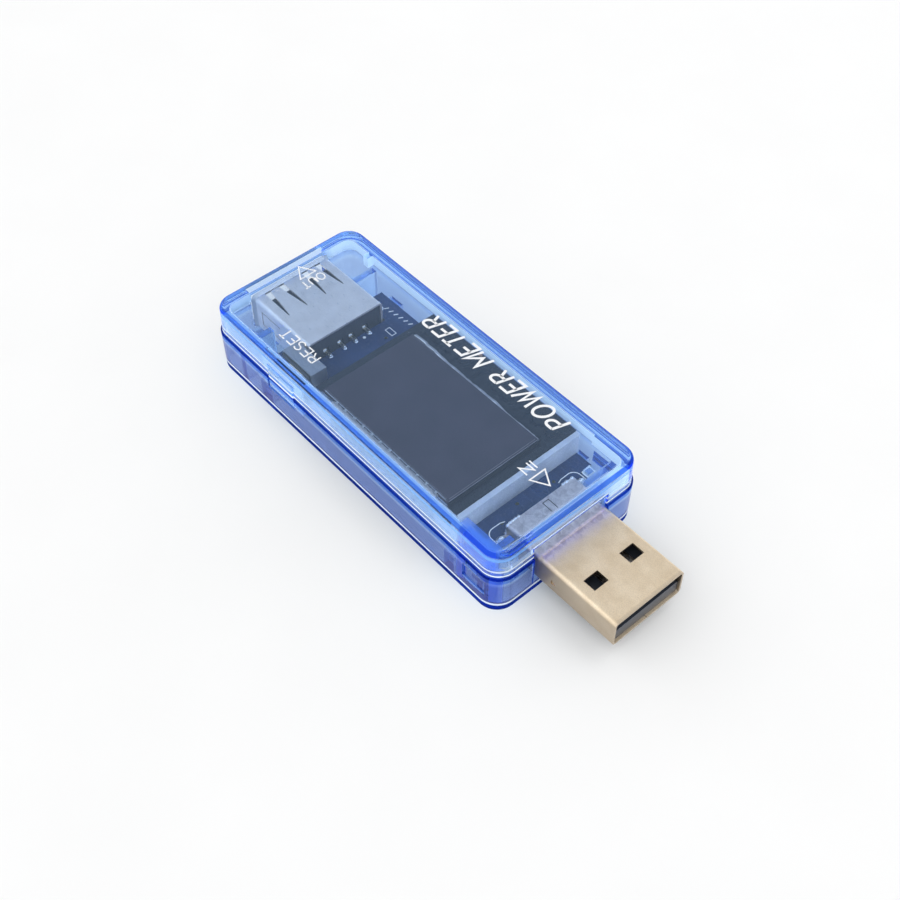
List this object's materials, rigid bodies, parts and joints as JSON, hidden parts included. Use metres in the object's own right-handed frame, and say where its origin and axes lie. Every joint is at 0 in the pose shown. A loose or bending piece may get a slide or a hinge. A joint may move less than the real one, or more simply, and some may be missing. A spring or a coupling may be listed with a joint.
{
  "type": "usb power meter",
  "caption": "Inline USB power meter: clear two-shell case with a USB-A plug, a USB-A socket, a display on a circuit board and a side reset button.",
  "frame": {"origin": "middle of the whole object's footprint, at the height of the face it rests on", "axes": "+X the way the USB-A plug points, +Z out of the display face, -Y the long side with the reset button"},
  "size_m": [0.0728, 0.0256, 0.0115],
  "materials": {
    "case_plastic": "clear blue, polished",
    "board_laminate": "dark blue solder mask over glass-epoxy",
    "plug_steel": "warm nickel plate with fine rolling lines",
    "socket_steel": "tinned sheet",
    "connector_plastic": "dark moulded",
    "contact_gold": "gold flash",
    "light_guide_plastic": "pale translucent",
    "led_plastic": "white with a pale lens",
    "lcd_glass": "dark slate",
    "polariser_film": "slate film",
    "tinned_metal": "bright tin",
    "clear_glue": "cured clear resin",
    "switch_plastic": "moulded nylon",
    "plunger_plastic": "pale nylon",
    "chip_epoxy": "moulded black epoxy",
    "capacitor_ceramic": "tan fired ceramic",
    "shunt_alloy": "dull rolled alloy"
  },
  "bodies": {
    "case": {"upper_case": "case_plastic", "lower_case": "case_plastic", "circuit_board": "board_laminate", "plug_shell": "plug_steel", "plug_insulator": "connector_plastic", "plug_contacts": "contact_gold", "socket_shell": "socket_steel", "socket_insulator": "connector_plastic", "socket_contacts": "contact_gold", "light_guide": "light_guide_plastic", "backlight_leds": "led_plastic", "lcd_rear_polariser": "polariser_film", "lcd_rear_glass": "lcd_glass", "lcd_front_glass": "lcd_glass", "lcd_front_polariser": "polariser_film", "lcd_pins": "tinned_metal", "pin_sealant": "clear_glue", "switch_body": "switch_plastic", "switch_frame": "tinned_metal", "switch_terminals": "tinned_metal", "microcontroller": "chip_epoxy", "microcontroller_leads": "tinned_metal", "memory_chip": "chip_epoxy", "memory_chip_leads": "tinned_metal", "voltage_regulator": "chip_epoxy", "voltage_regulator_leads": "tinned_metal", "current_shunt": "shunt_alloy", "chip_capacitors": "capacitor_ceramic", "chip_resistors": "chip_epoxy", "component_end_caps": "tinned_metal"},
    "reset_button": {"reset_button": "case_plastic"},
    "switch_plunger": {"switch_plunger": "plunger_plastic"}
  },
  "joints": [
    {"name": "reset_press", "type": "slide", "parent": "case", "child": "reset_button", "axis": [0, 1, 0], "range_m": [0, 0.00025], "stiffness_N_per_m": 100, "springref_m": -0.0001},
    {"name": "plunger_press", "type": "slide", "parent": "case", "child": "switch_plunger", "axis": [0, 1, 0], "range_m": [0, 0.00025], "stiffness_N_per_m": 100, "springref_m": -0.0001}
  ],
  "couplings": [
    {"joint": "plunger_press", "follows": "reset_press", "ratio": 1}
  ]
}
